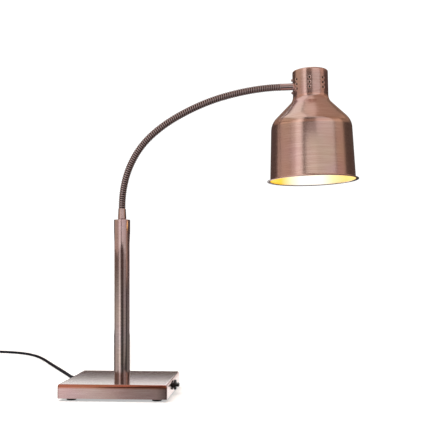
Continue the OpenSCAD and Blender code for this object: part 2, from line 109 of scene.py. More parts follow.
# two directions square to an axis, so that u x v = axis
def squareTo(axis):
    a = np.array(axis, float) / np.linalg.norm(axis)
    helper = np.array([0.0, 1.0, 0.0]) if abs(a[1]) < 0.9 else np.array([0.0, 0.0, 1.0])
    u = np.cross(helper, a)
    u /= np.linalg.norm(u)
    return a, u, np.cross(a, u)


# surface of revolution: point(phi, k) = origin + h_k * axis + r_k * (cos phi * u + sin phi * v)
def spunGrid(rows, origin, axis, count=96, phi=None):
    a, u, v = squareTo(axis)
    rows = np.array(rows, float)
    turn = np.linspace(0, 2 * np.pi, count, endpoint=False) if phi is None else np.array(phi)
    round_ = np.cos(turn)[:, None, None] * u + np.sin(turn)[:, None, None] * v
    return np.array(origin) + rows[None, :, 1:2] * a + rows[None, :, 0:1] * round_


# tube: a ring of radius r_i about each path point, square to the path, with both ends closed to a point
def tubeGrid(path, radius, sides, side=(0, 0, 1), ends=True):
    path = np.array(path, float)
    along = np.gradient(path, axis=0)
    along /= np.linalg.norm(along, axis=1, keepdims=True)
    u = np.cross(along, side)
    u /= np.linalg.norm(u, axis=1, keepdims=True)
    v = np.cross(u, along)
    turn = np.linspace(0, 2 * np.pi, sides, endpoint=False)
    r = np.broadcast_to(np.asarray(radius, float), (len(path), sides))[..., None]
    ring = path[:, None] + r * (np.cos(turn)[None, :, None] * u[:, None] + np.sin(turn)[None, :, None] * v[:, None])
    if ends:
        first = np.broadcast_to(path[:1, None], (1, sides, 3))
        last = np.broadcast_to(path[-1:, None], (1, sides, 3))
        ring = np.concatenate([first, ring, last])
    return ring


# quads of a grid of rows x cols points, joined round where asked
def gridFaces(rows, cols, wrapRows=False, wrapCols=True):
    i = np.arange(rows if wrapRows else rows - 1)[:, None]
    j = np.arange(cols if wrapCols else cols - 1)[None, :]
    i2, j2 = (i + 1) % rows, (j + 1) % cols
    return np.stack([i * cols + j, i * cols + j2, i2 * cols + j2, i2 * cols + j], -1).reshape(-1, 4)


# one mesh out of several grids; each grid is a dict with points and, if need be, wrapRows, wrapCols, finish and groove
def makePiece(name, grids, materials, sharp=35, merge=1e-6):
    points, faces, finish, groove, start = [], [], [], [], 0
    for grid in grids:
        g = np.array(grid["points"], float)
        quads = grid.get("faces")
        if quads is None:
            quads = gridFaces(g.shape[0], g.shape[1], grid.get("wrapRows", False), grid.get("wrapCols", True))
        points.append(g.reshape(-1, 3))
        faces.append(quads + start)
        finish.append(np.broadcast_to(grid.get("finish", 0), len(quads)))
        groove.append(np.broadcast_to(grid.get("groove", 0.0), g.shape[:-1]).ravel())
        start += g.size // 3
    mesh = bpy.data.meshes.new(name)
    mesh.from_pydata(np.concatenate(points).tolist(), [], np.concatenate(faces).tolist())
    for material in materials:
        mesh.materials.append(material)
    mesh.polygons.foreach_set("material_index", np.concatenate(finish).astype(np.int32))
    mesh.attributes.new("groove", "FLOAT", "POINT").data.foreach_set("value", np.concatenate(groove).astype(np.float32))
    work = bmesh.new()
    work.from_mesh(mesh)
    bmesh.ops.remove_doubles(work, verts=work.verts, dist=merge)
    bmesh.ops.recalc_face_normals(work, faces=work.faces)
    work.to_mesh(mesh)
    work.free()
    mesh.shade_smooth()
    mesh.set_sharp_from_angle(angle=math.radians(sharp))
    piece = bpy.data.objects.new(name, mesh)
    bpy.context.scene.collection.objects.link(piece)
    return piece


# Camera

cameraSet = {"place": (0.2776, -1.459, 0.2325), "turn": 4.098, "lens": 65.0, "sensor": 36.0, "rise": 0.1452}
eye = bpy.data.cameras.new("eye")
eye.lens, eye.sensor_width, eye.shift_y = cameraSet["lens"], cameraSet["sensor"], cameraSet["rise"]
eye.clip_start, eye.clip_end = 0.05, 200
eyeObject = bpy.data.objects.new("eye", eye)
eyeObject.location = cameraSet["place"]
eyeObject.rotation_euler = (math.radians(90), 0, math.radians(cameraSet["turn"]))
bpy.context.scene.collection.objects.link(eyeObject)
bpy.context.scene.camera = eyeObject
bpy.context.scene.view_settings.view_transform = "Standard"
print("camera ready")

# Materials


# Brushed sheet steel under antique copper plate: long faint scratches, a satin mirror that blurs across them.
def brushedCopper(name, stretch, light, dark, rough=(0.2, 0.3), turned=None, bumpAmount=0.12, bend=None):
    material, tree = newMaterial(name)
    place = addNode(tree, "ShaderNodeTexCoord")
    where = place.outputs["Object"]
    if turned:
        # circles about the piece's own axis: the pattern runs with height less 0.7 of the radius
        own = addNode(tree, "ShaderNodeMapping", {"vector_type": "TEXTURE", "Location": turned["at"],
                      "Rotation": (0, math.radians(turned["tilt"]), 0)}, {"Vector": where})
        xyz = addNode(tree, "ShaderNodeSeparateXYZ", {}, {0: own.outputs[0]})
        flat = addNode(tree, "ShaderNodeCombineXYZ", {}, {0: xyz.outputs[0], 1: xyz.outputs[1]})
        radius = addNode(tree, "ShaderNodeVectorMath", {"operation": "LENGTH"}, {0: flat.outputs[0]})
        round_ = addNode(tree, "ShaderNodeVectorMath", {"operation": "NORMALIZE"}, {0: flat.outputs[0]})
        level = addNode(tree, "ShaderNodeMath", {"operation": "MULTIPLY_ADD", 1: -0.7},
                        {0: radius.outputs["Value"], 2: xyz.outputs[2]})
        split = addNode(tree, "ShaderNodeSeparateXYZ", {}, {0: round_.outputs[0]})
        joined = addNode(tree, "ShaderNodeCombineXYZ", {}, {0: split.outputs[0], 1: split.outputs[1],
                         2: level.outputs[0]})
        where = joined.outputs[0]
    fine = addNode(tree, "ShaderNodeMapping", {"Scale": stretch}, {"Vector": where})
    hair = addNode(tree, "ShaderNodeTexNoise", {"Scale": 1.0, "Detail": 3.0, "Roughness": 0.6},
                   {"Vector": fine.outputs[0]})
    cloud = addNode(tree, "ShaderNodeTexNoise", {"Scale": 14.0, "Detail": 2.0}, {"Vector": place.outputs["Object"]})
    tone = addNode(tree, "ShaderNodeValToRGB", {"stops": [(0.3, dark), (0.7, light)]}, {0: hair.outputs[0]})
    wash = addNode(tree, "ShaderNodeMix", {"data_type": "RGBA", "blend_type": "SOFT_LIGHT", 0: 0.25},
                   {6: tone.outputs[0], 7: cloud.outputs["Color"]})
    if bend:
        # painted reflection: the plate is painted browner in a band of heights under the top face, round the pressed
        # edge, where the rounded edge mirrors the dim surroundings
        height = addNode(tree, "ShaderNodeSeparateXYZ", {}, {0: place.outputs["Object"]})
        share = addNode(tree, "ShaderNodeMapRange", {"From Min": bend[0], "From Max": bend[1]},
                        {"Value": height.outputs[2]})
        band = addNode(tree, "ShaderNodeValToRGB", {"stops": [(0.0, "#FFFFFF"), (0.35, "#D9A78E"), (0.8, "#B87F66"),
                       (0.93, "#B87F66"), (0.98, "#FFFFFF")]}, {0: share.outputs[0]})
        wash = addNode(tree, "ShaderNodeMix", {"data_type": "RGBA", "blend_type": "MULTIPLY", 0: 1.0},
                       {6: wash.outputs[2], 7: band.outputs[0]})
    gloss = addNode(tree, "ShaderNodeMapRange", {"To Min": rough[0], "To Max": rough[1]}, {"Value": hair.outputs[0]})
    bump = addNode(tree, "ShaderNodeBump", {"Strength": bumpAmount, "Distance": 0.0002}, {"Height": hair.outputs[0]})
    shader = addNode(tree, "ShaderNodeBsdfPrincipled", {"Metallic": 1.0, "Coat Weight": 0.25, "Coat Roughness": 0.18},
                     {"Base Color": wash.outputs[2], "Roughness": gloss.outputs[0], "Normal": bump.outputs[0]})
    if turned:
        tangent = addNode(tree, "ShaderNodeTangent", {"direction_type": "RADIAL", "axis": "Z"})
        shader.inputs["Anisotropic"].default_value = 0.75
        tree.links.new(tangent.outputs[0], shader.inputs["Tangent"])
    endMaterial(tree, shader)
    return material


# Plain finish with a fine grain: colour drifts between two tones, the surface is rough by a fine noise.
def grainFinish(name, light, dark, rough, grain, metallic=0.0, bumpDepth=0.0001, bumpAmount=0.2, coat=0.0,
                specular=0.5):
    material, tree = newMaterial(name)
    place = addNode(tree, "ShaderNodeTexCoord")
    noise = addNode(tree, "ShaderNodeTexNoise", {"Scale": 1000 / grain, "Detail": 3.0}, {"Vector": place.outputs["Object"]})
    drift = addNode(tree, "ShaderNodeTexNoise", {"Scale": 30.0, "Detail": 2.0}, {"Vector": place.outputs["Object"]})
    both = addNode(tree, "ShaderNodeMath", {"operation": "MULTIPLY_ADD", 1: 0.5, 2: 0.25}, {0: noise.outputs[0]})
    blend = addNode(tree, "ShaderNodeMix", {"data_type": "FLOAT", 0: 0.5}, {2: both.outputs[0], 3: drift.outputs[0]})
    tone = addNode(tree, "ShaderNodeValToRGB", {"stops": [(0.35, dark), (0.65, light)]}, {0: blend.outputs[0]})
    gloss = addNode(tree, "ShaderNodeMapRange", {"To Min": rough[0], "To Max": rough[1]}, {"Value": noise.outputs[0]})
    bump = addNode(tree, "ShaderNodeBump", {"Strength": bumpAmount, "Distance": bumpDepth}, {"Height": noise.outputs[0]})
    shader = addNode(tree, "ShaderNodeBsdfPrincipled", {"Metallic": metallic, "Coat Weight": coat,
                     "Specular IOR Level": specular},
                     {"Base Color": tone.outputs[0], "Roughness": gloss.outputs[0], "Normal": bump.outputs[0]})
    endMaterial(tree, shader)
    return material


shadeSpot = {"links": [14, 17, 18, 11, 7, 8, 6, 7.5], "linkLength": 0.0523, "foot": (0, 0, 0.3595),
             "rod": 0.026, "neck": 0.0335, "rimBelow": 0.18}
headings = np.concatenate([[0], np.cumsum(shadeSpot["links"])]).astype(float)
turns = np.radians(shadeSpot["links"])
chords = shadeSpot["linkLength"] * np.sinc(turns / 2 / np.pi)
middle = np.radians(headings[:-1]) + turns / 2
jointPoints = np.array(shadeSpot["foot"]) + np.concatenate([[[0, 0, 0]], np.cumsum(
    chords[:, None] * np.stack([np.sin(middle), 0 * middle, np.cos(middle)], 1), axis=0)])
rodWay = np.array([math.sin(math.radians(headings[-1])), 0, math.cos(math.radians(headings[-1]))])
shadeAt = jointPoints[-1] + (shadeSpot["rod"] + shadeSpot["neck"]) * rodWay
shadeTilt = headings[-1] - 90
shadeUp = np.array([math.sin(math.radians(shadeTilt)), 0, math.cos(math.radians(shadeTilt))])

# Copper plated steel sheet, belt brushed along X and lacquered: satin, with hair lines of about 1 mm
# its last pair of heights bounds the painted reflection band under the top edge
copperSheet = brushedCopper("brushed copper sheet", (25, 900, 900), "#DDBDB4", "#C9A399", (0.1, 0.18), None, 0.05,
                            (0.0225, 0.031))
# The same plate on a tube, brushed round on a lathe: crisp upright reflections. Its tones are the sheet's painted
# darker and greyer, painted shade for the dimmer light round the column
copperTube = brushedCopper("lathe brushed copper tube", (1.5, 1.5, 1100), "#CDB5B0", "#B79C97", (0.1, 0.18),
                           {"at": (0, 0, 0), "tilt": 0}, 0.03)
# Spun aluminium, copper coloured and brushed on the spinning lathe
copperSpun = brushedCopper("spun brushed copper", (1.5, 1.5, 1000), "#DABAAE", "#C6A094", (0.14, 0.21),
                           {"at": tuple(shadeAt), "tilt": shadeTilt}, 0.04)


# Hose wound from copper plated steel strip: each turn's crown keeps the metal's own tone, and its groove is painted
# near black, painted shade in the recess
def woundHose():
    material, tree = newMaterial("wound copper hose")
    place = addNode(tree, "ShaderNodeTexCoord")
    down = addNode(tree, "ShaderNodeAttribute", {"attribute_name": "groove"})
    noise = addNode(tree, "ShaderNodeTexNoise", {"Scale": 900.0, "Detail": 2.0}, {"Vector": place.outputs["Object"]})
    mixed = addNode(tree, "ShaderNodeMath", {"operation": "MULTIPLY_ADD", 1: 0.25}, {0: noise.outputs[0], 2: down.outputs["Fac"]})
    # painted shade: the groove value darkens the colour to near black down in each groove
    tone = addNode(tree, "ShaderNodeValToRGB", {"stops": [(0.1, "#B7A4A2"), (0.45, "#8A7572"), (1.0, "#2E2322")]},
                   {0: mixed.outputs[0]})
    gloss = addNode(tree, "ShaderNodeMapRange", {"To Min": 0.2, "To Max": 0.34}, {"Value": noise.outputs[0]})
    shader = addNode(tree, "ShaderNodeBsdfPrincipled", {"Metallic": 1.0},
                     {"Base Color": tone.outputs[0], "Roughness": gloss.outputs[0]})
    endMaterial(tree, shader)
    return material


hoseCopper = woundHose()
# Zinc plated mild steel: pale, faintly clouded
zincSteel = grainFinish("zinc plated steel", "#B9BABD", "#96979B", (0.3, 0.45), 1.5, metallic=1.0)
# Hot rolled plate with black oxide
blackSteel = grainFinish("black oxide plate", "#4A4A4D", "#303033", (0.45, 0.6), 2.0, metallic=0.8)
# Moulded nitrile rubber: dull and dark
footRubber = grainFinish("moulded rubber", "#1F1F20", "#121213", (0.6, 0.8), 0.6)
# Moulded ABS with a fine spark eroded grain
knobPlastic = grainFinish("moulded black ABS", "#211D1B", "#141110", (0.3, 0.42), 0.5)
# Nylon of the gland and the tie
nylon = grainFinish("moulded black nylon", "#1D1D20", "#131316", (0.4, 0.5), 0.5)
# Glazed porcelain of the lamp holder
porcelain = grainFinish("glazed porcelain", "#EFECE4", "#E2DDD2", (0.12, 0.2), 4.0, coat=0.5)
# Brass screw shell
brassCap = grainFinish("rolled brass", "#CDB77C", "#B09A63", (0.25, 0.35), 1.0, metallic=1.0)
# Nickel plated brass of the plug's pins
nickel = grainFinish("nickel plated brass", "#D8D6CE", "#C2BFB6", (0.12, 0.2), 1.0, metallic=1.0)
# Extruded PVC sheath: satin, blue black
sheathPvc = grainFinish("extruded PVC sheath", "#121525", "#0B0D18", (0.5, 0.6), 0.8,
                        specular=0.3)


# Gold tinted inside of the shade, polished. Its emission is painted light: a painted glow, golden towards the -X side,
# white in the middle by the lamp's face and pale gold towards +X
def goldLiningWithPaintedGlow(axisX, rimHeight):
    material, tree = newMaterial("gold tinted lining")
    place = addNode(tree, "ShaderNodeTexCoord")
    xyz = addNode(tree, "ShaderNodeSeparateXYZ", {}, {0: place.outputs["Object"]})
    lines = addNode(tree, "ShaderNodeMapping", {"Scale": (20, 20, 900)}, {"Vector": place.outputs["Object"]})
    hair = addNode(tree, "ShaderNodeTexNoise", {"Scale": 1.0, "Detail": 2.0}, {"Vector": lines.outputs[0]})
    tone = addNode(tree, "ShaderNodeValToRGB", {"stops": [(0.3, "#8F7440"), (0.7, "#A98C55")]}, {0: hair.outputs[0]})
    # painted light: the painted glow's colour by X across the shade
    side = addNode(tree, "ShaderNodeMapRange", {"From Min": axisX - 0.08, "From Max": axisX + 0.08},
                   {"Value": xyz.outputs[0]})
    paintedGlowTone = addNode(tree, "ShaderNodeValToRGB", {"stops": [(0.03, "#FFC63A"), (0.16, "#FFC838"), (0.3, "#FFF1D8"),
                    (0.4, "#FFFFFF"), (0.68, "#FFFDF8"), (0.8, "#FBE6B8"), (0.95, "#F4D480")]}, {0: side.outputs[0]})
    # painted light: the painted glow is full up to 30 mm over the rim and fades to faint by 85 mm
    low = addNode(tree, "ShaderNodeMapRange", {"From Min": rimHeight + 0.03, "From Max": rimHeight + 0.085,
                  "To Min": 1.0, "To Max": 0.02}, {"Value": xyz.outputs[2]})
    shader = addNode(tree, "ShaderNodeBsdfPrincipled", {"Metallic": 0.8, "Roughness": 0.38},
                     {"Base Color": tone.outputs[0], "Emission Color": paintedGlowTone.outputs[0],
                      "Emission Strength": low.outputs[0]})
    endMaterial(tree, shader)
    return material


# Lit reflector lamp: the frosted front glows warm white, the cone behind it is silvered
def litGlass(faceHeight):
    material, tree = newMaterial("lit reflector glass")
    place = addNode(tree, "ShaderNodeTexCoord")
    xyz = addNode(tree, "ShaderNodeSeparateXYZ", {}, {0: place.outputs["Object"]})
    frost = addNode(tree, "ShaderNodeTexNoise", {"Scale": 260.0, "Detail": 2.0}, {"Vector": place.outputs["Object"]})
    front = addNode(tree, "ShaderNodeMapRange", {"From Min": faceHeight + 0.03, "From Max": faceHeight + 0.045,
                    "To Min": 1.0, "To Max": 0.0}, {"Value": xyz.outputs[2]})
    glow = addNode(tree, "ShaderNodeEmission", {"Color": linearColour("#FFE2B0"), "Strength": 2.2})
    gloss = addNode(tree, "ShaderNodeMapRange", {"To Min": 0.1, "To Max": 0.25}, {"Value": frost.outputs[0]})
    silver = addNode(tree, "ShaderNodeBsdfPrincipled", {"Metallic": 1.0, "Base Color": linearColour("#D9D6CF")},
                     {"Roughness": gloss.outputs[0]})
    both = addNode(tree, "ShaderNodeMixShader", {}, {0: front.outputs[0], 1: silver.outputs[0], 2: glow.outputs[0]})
    endMaterial(tree, both)
    return material


rimHeight = float(shadeAt[2]) - shadeSpot["rimBelow"]
# the shade's inside: gold tint with a painted glow
goldInsideWithPaintedGlow = goldLiningWithPaintedGlow(float(shadeAt[0]), rimHeight)
lampGlow = litGlass(rimHeight + 0.016)
print("materials ready")

# Mains lead, with its coil, tie and plug

leadSet = {"diameter": 0.007, "step": 0.003, "sides": 12, "turns": 3.25, "coilAt": (-0.590, 0.6685),
           "coilRadius": 0.0415, "low": 0.0045, "high": 0.0115}
leadRoute = [
    (-0.08, 0.13, 0.015), (-0.08, 0.143, 0.0149), (-0.083, 0.157, 0.0136), (-0.0905, 0.169, 0.0112),
    (-0.1015, 0.1775, 0.0086), (-0.114, 0.1815, 0.0062), (-0.125, 0.183, 0.0046), (-0.136, 0.1865, 0.0038),
    (-0.146, 0.1935, 0.0035), (-0.1535, 0.2035, 0.0035), (-0.1595, 0.216, 0.0035), (-0.167, 0.232, 0.0035),
    (-0.177, 0.253, 0.0035), (-0.191, 0.282, 0.0035), (-0.209, 0.319, 0.0035), (-0.23, 0.362, 0.0035),
    (-0.251, 0.405, 0.0035), (-0.272, 0.449, 0.0035), (-0.299, 0.505, 0.0035), (-0.326, 0.558, 0.0035),
    (-0.345, 0.591, 0.0035), (-0.364, 0.619, 0.0035), (-0.391, 0.652, 0.0035), (-0.426, 0.682, 0.0035),
    (-0.47, 0.703, 0.0035), (-0.515, 0.712, 0.0036), (-0.555, 0.7135, 0.004), (-0.59, 0.7135, 0.0045)]
tailRoute = [
    (-0.635, 0.655, 0.0115), (-0.635, 0.644, 0.0122), (-0.635, 0.632, 0.0144), (-0.635, 0.620, 0.0172),
    (-0.635, 0.608, 0.0188), (-0.635, 0.597, 0.019)]


# smooth curve through the route's points: the Catmull-Rom blend of each four neighbours, n steps to a span
def smoothRoute(points, n):
    p = np.array(points, float)
    q = np.concatenate([p[:1], p, p[-1:]])
    t = (np.arange(n) / n)[None, :, None]
    a, b, c, d = (q[k:len(q) - 3 + k, None] for k in range(4))
    body = 0.5 * (2 * b + (c - a) * t + (2 * a - 5 * b + 4 * c - d) * t ** 2 + (3 * b - a - 3 * c + d) * t ** 3)
    return np.concatenate([body.reshape(-1, 3), p[-1:]])


# the coil: turn k runs outside low, inside low, inside high, outside high, one diameter apart
def coilPath(s, n):
    turn = np.linspace(0, s["turns"], int(n * s["turns"]) + 1)[1:-1]
    gap = s["diameter"]
    radius = s["coilRadius"] + gap / 2 - gap * ease(turn, 0.88, 1.12) + gap * ease(turn, 2.4, 2.64)
    height = s["low"] + (s["high"] - s["low"]) * ease(turn, 1.64, 1.88)
    angle = np.pi / 2 + 2 * np.pi * turn
    return np.stack([s["coilAt"][0] + radius * np.cos(angle), s["coilAt"][1] + radius * np.sin(angle), height], 1)


# points an even step apart along a path
def evenPath(points, step):
    far = np.concatenate([[0], np.cumsum(np.linalg.norm(np.diff(points, axis=0), axis=1))])
    at = np.linspace(0, far[-1], max(2, int(round(far[-1] / step)) + 1))
    return np.stack([np.interp(at, far, points[:, k]) for k in range(3)], 1), far[-1]


leadLine = np.concatenate([smoothRoute(leadRoute, 12), coilPath(leadSet, 90), smoothRoute(tailRoute, 8)])
leadPath, leadLength = evenPath(leadLine, leadSet["step"])
mainsLead = makePiece("mains_lead", [{"points": tubeGrid(leadPath, leadSet["diameter"] / 2, leadSet["sides"])}],
                      [sheathPvc], 60)
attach(mainsLead, "stand")
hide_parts("cord_lead", "cord_coil", "cord_tail")
print("lead length", round(leadLength, 4))

# moulded strain relief: a flange, then a taper with ring grooves
glandSet = {"at": (-0.08, 0.1, 0.015), "length": 0.03, "flange": 0.008, "flangeHeight": 0.004, "wide": 0.006,
            "narrow": 0.0047, "rings": 6, "depth": 0.0006, "inside": 0.0095}


def glandProfile(s):
    along = np.linspace(s["flangeHeight"], s["length"] - 0.0006, 70)
    share = (along - along[0]) / (along[-1] - along[0])
    groove = np.clip(np.sin(share * np.pi * 2 * s["rings"]) * 2 - 0.4, 0, 1) * s["depth"]
    radius = s["wide"] + (s["narrow"] - s["wide"]) * share - groove
    return profile((0, -s["inside"]), (s["wide"] - 0.0002, -s["inside"]), (s["wide"] - 0.0002, 0.0), (s["flange"], 0.0),
                   arcPoints(s["flange"] - 0.001, s["flangeHeight"] - 0.001, 0.001, 0, 90, 4),
                   np.stack([radius, along], 1), (s["narrow"] - 0.0006, s["length"]), (0, s["length"]))


strainRelief = makePiece("strain_relief", [{"points": spunGrid(glandProfile(glandSet), glandSet["at"], (0, 1, 0), 40)}],
                         [nylon])
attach(strainRelief, "stand")
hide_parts("cable_gland")

# the tie: a flat band round the bundle, its thickness and width carried round a square with round corners
tieSet = {"inside": 0.0142, "thick": 0.0008, "wide": 0.008, "corner": 0.002, "turn": -90}


def tieGrid(s, lead):
    half, r = s["inside"] / 2, s["corner"]
    corners = [(half - r, half - r, 0), (-half + r, half - r, 90), (-half + r, -half + r, 180), (half - r, -half + r, 270)]
    loop = profile(*[arcPoints(x, y, 1, a, a + 90, 6) for x, y, a in corners])
    middleOf = np.repeat(np.array([(x, y) for x, y, a in corners]), 7, axis=0)
    outward = loop - middleOf
    t, w = s["thick"], s["wide"]
    section = profile(arcPoints(t - 0.0002, w - 0.0002, 0.0002, 0, 90, 2), (0, w), (0, 0),
                      arcPoints(t - 0.0002, 0.0002, 0.0002, -90, 0, 2))
    flat = middleOf[:, None] + outward[:, None] * (r + section[None, :, 0:1])
    radius, height = lead["coilRadius"] + flat[..., 0], (lead["low"] + lead["high"]) / 2 + flat[..., 1]
    angle = math.radians(s["turn"]) + section[None, :, 1] / lead["coilRadius"]
    return np.stack([lead["coilAt"][0] + radius * np.cos(angle), lead["coilAt"][1] + radius * np.sin(angle), height], -1)


coilTie = makePiece("coil_tie", [{"points": tieGrid(tieSet, leadSet), "wrapRows": True}], [nylon])
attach(coilTie, "stand")
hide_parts("cord_tie")

# the plug: a round moulded body that swells from its strain relief, notched at the earth contacts
plugSet = {"at": (-0.635, 0.597, 0.019), "length": 0.052, "radius": 0.019, "rings": 5, "pinRadius": 0.0024,
           "pinLength": 0.019, "pinGap": 0.019}


def plugRows(s):
    along = np.linspace(0.0, 0.014, 46)
    groove = np.clip(np.sin(along / 0.014 * np.pi * 2 * s["rings"]) * 2 - 0.4, 0, 1) * 0.0007
    relief = np.stack([0.0047 + 0.0028 * along / 0.014 - groove, along], 1)
    swell = np.linspace(0.015, 0.036, 16)
    body = np.stack([0.0085 + (s["radius"] - 0.0085) * ease(swell, 0.012, 0.037), swell], 1)
    return profile((0, 0), relief, body, (s["radius"], 0.0375), (s["radius"], 0.05),
                   arcPoints(s["radius"] - 0.0012, s["length"] - 0.0012, 0.0012, 0, 90, 4), (0, s["length"]))


plugGrid = spunGrid(plugRows(plugSet), plugSet["at"], (0, -1, 0), 72)
plugCentre = np.array(plugSet["at"])
fromAxis = (plugGrid - plugCentre) * (1, 0, 1)
sideways = np.abs(fromAxis[..., 2]) < 0.0032                      # the notches lie to both sides, level with the axis
deep = (plugCentre[1] - plugGrid[..., 1] > 0.0365) & sideways
wideOff = np.abs(fromAxis[..., 0])
plugGrid[..., 0] = np.where(deep & (wideOff > 0.0158), plugCentre[0] + np.sign(fromAxis[..., 0]) * 0.0158, plugGrid[..., 0])
plugBody = makePiece("plug_shell", [{"points": plugGrid}], [nylon], 30)
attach(plugBody, "stand")
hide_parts("plug_body")
pinRows = profile((0, -0.004), (plugSet["pinRadius"], -0.004), (plugSet["pinRadius"], plugSet["pinLength"] - 0.0024),
                  arcPoints(0, plugSet["pinLength"] - 0.0024, 0.0024, 0, 90, 6))
pinGrids = [{"points": spunGrid(pinRows, plugCentre + (side * plugSet["pinGap"] / 2, -plugSet["length"], 0), (0, -1, 0), 24)}
            for side in (-1, 1)]
plugPins = makePiece("plug_pin_pair", pinGrids, [nickel])
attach(plugPins, "stand")
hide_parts("plug_pins")

print("lead, coil and plug ready")

# Base

coverSet = {"half": 0.1, "low": 0.005, "top": 0.031, "sheet": 0.0015, "corner": 0.003, "edge": 0.0035, "drop": 0.006}


# outline of a square with round corners, pulled in by an inset: straight sides in steps, then the corner's arc
def squareOutline(half, corner, inset, steps=12, cornerSteps=8):
    r = np.maximum(corner - inset, 0.00005)
    reach = half - inset - r
    arc = np.radians(np.linspace(0, 90, cornerSteps + 1))
    side = np.linspace(-1, 1, steps + 1)[1:-1]
    straight = np.stack([(reach + r) + 0 * side, reach * side], 1)
    bend = np.stack([reach + r * np.cos(arc), reach + r * np.sin(arc)], 1)
    quarter = np.concatenate([straight, bend])
    return np.concatenate([quarter @ np.array([[math.cos(a), math.sin(a)], [-math.sin(a), math.cos(a)]])
                           for a in np.radians([0, 90, 180, 270])])


# the cover: rows of (inset, height) from the middle of its underside, out, up round the edge and back to the middle
def coverGrid(s):
    e, t = s["edge"], s["sheet"]
    rows = profile((s["half"] - 0.0002, s["top"] - t), (0.05, s["top"] - t), (t + 0.002, s["top"] - t),
                   (t, s["top"] - t - 0.002), (t, s["low"]), (0.0002, s["low"]), (0, s["low"] + 0.0002),
                   (0, s["low"] + 0.012), (0, s["top"] - s["drop"] - 0.001),
                   arcPoints(1, 0, 1, 180, 90, 12) * (e, s["drop"]) + (0, s["top"] - s["drop"]), (e + 0.001, s["top"]), (0.03, s["top"]), (0.06, s["top"]),
                   (s["half"] - 0.0002, s["top"]))
    rings = [np.concatenate([squareOutline(s["half"], s["corner"], inset),
                             np.full((4 * 20, 1), height)], 1) for inset, height in rows]
    centre = np.zeros((1, 80, 3))
    under, over = centre + (0, 0, s["top"] - t), centre + (0, 0, s["top"])
    return np.concatenate([under, np.array(rings), over])


baseCover = makePiece("base_cover_shell", [{"points": coverGrid(coverSet)}], [copperSheet], 40)
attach(baseCover, "stand")
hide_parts("base_cover")

# four turned rubber feet with a recess round each screw
feetSet = {"spread": 0.079, "radius": 0.009, "height": 0.005, "recess": 0.0045, "soft": 0.0008}
footRows = profile((0.00215, 0.0012), (feetSet["recess"] - 0.0003, 0.0012), (feetSet["recess"], 0.0),
                   arcPoints(feetSet["radius"] - feetSet["soft"], feetSet["soft"], feetSet["soft"], -90, 0, 5),
                   arcPoints(feetSet["radius"] - 0.0012, feetSet["height"] - 0.0006, 0.0006, 0, 90, 4),
                   (0.00215, feetSet["height"]))
feetGrids = [{"points": spunGrid(footRows, (x * feetSet["spread"], y * feetSet["spread"], 0), (0, 0, 1), 40),
              "wrapCols": True} for x in (-1, 1) for y in (-1, 1)]
for grid in feetGrids:
    grid["points"] = np.concatenate([grid["points"], grid["points"][:, :1]], 1)
    grid["wrapRows"], grid["wrapCols"] = True, False
rubberFeet = makePiece("rubber_foot_set", feetGrids, [footRubber])
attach(rubberFeet, "stand")
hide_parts("rubber_feet")
print("base ready")

# Column

columnSet = {"low": 0.031, "top": 0.335, "radius": 0.0155, "wall": 0.0015, "edge": 0.0004}


# a ring profile spun round: both ends of the profile meet, so the surface closes on itself
def ringPiece(name, rows, origin, axis, count, materials, sharp=35):
    grid = spunGrid(profile(rows, rows[:1]), origin, axis, count)
    return makePiece(name, [{"points": grid, "wrapRows": True, "wrapCols": False}], materials, sharp)


c = columnSet
columnRows = profile((c["radius"], c["low"]), (c["radius"], c["low"] + 0.1), (c["radius"], c["top"] - 0.1),
                     arcPoints(c["radius"] - c["edge"], c["top"] - c["edge"], c["edge"], 0, 90, 3),
                     (c["radius"] - c["wall"], c["top"]), (c["radius"] - c["wall"], c["low"]))
column = ringPiece("column_sleeve", columnRows, (0, 0, 0), (0, 0, 1), 96, [copperTube])
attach(column, "stand")
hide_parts("column_tube")

# the ferrule: a shouldered cone with a fine step at its foot, hollow where the hose enters
ferruleRows = profile((0.003, 0.325), (0.005, 0.325), (0.005, 0.335), arcPoints(0.0079, 0.3353, 0.0003, -90, 0, 2),
                      (0.0082, 0.3366), (0.0079, 0.3369), (0.0079, 0.3373), (0.0081, 0.3376), (0.0073, 0.3546),
                      arcPoints(0.0070, 0.3557, 0.0003, 0, 90, 2), (0.0069, 0.356), (0.0069, 0.353), (0.003, 0.353))
ferrule = ringPiece("ferrule_cone", ferruleRows, (0, 0, 0), (0, 0, 1), 64, [copperTube])
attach(ferrule, "stand")
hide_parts("lower_ferrule")
print("column ready")

# Arm: the wound hose, in a length for each joint

hoseSet = {"radius": 0.0068, "pitch": 0.0042, "depth": 0.001, "perPitch": 8, "sides": 32, "lead": 0.0055,
           "overRod": 0.004, "turnedRound": 5}


# the hose's centreline by distance from the first joint: straight, then one arc to each link, then straight
def hoseLine(at):
    length = shadeSpot["linkLength"]
    link = np.clip(np.floor(at / length).astype(int), 0, len(turns) - 1)
    inside = np.clip(at - link * length, 0, length)
    before, after = np.minimum(at, 0), np.maximum(at - len(turns) * length, 0)
    half = turns[link] * inside / length / 2
    heading = np.radians(headings[link]) + half
    across = inside * np.sinc(half / np.pi)
    way = np.stack([np.sin(heading), 0 * heading, np.cos(heading)], 1)
    return jointPoints[link] + across[:, None] * way + before[:, None] * (0, 0, 1) + after[:, None] * rodWay


# one length of hose: radius falls into a groove where distance / pitch - phi / (2 pi) is a whole number
def hoseGrid(first, last, s):
    at = np.linspace(first, last, int((last - first) / s["pitch"] * s["perPitch"]) + 1)
    turn = np.linspace(0, 2 * np.pi, s["sides"], endpoint=False)
    phase = at[:, None] / s["pitch"] - turn[None, :] / (2 * np.pi)
    groove = (0.5 + 0.5 * np.cos(2 * np.pi * phase)) ** 1.6
    skin = tubeGrid(hoseLine(at), s["radius"] - s["depth"] * groove, s["sides"], side=(0, 1, 0))
    return {"points": skin, "groove": np.concatenate([groove[:1], groove, groove[-1:]])}


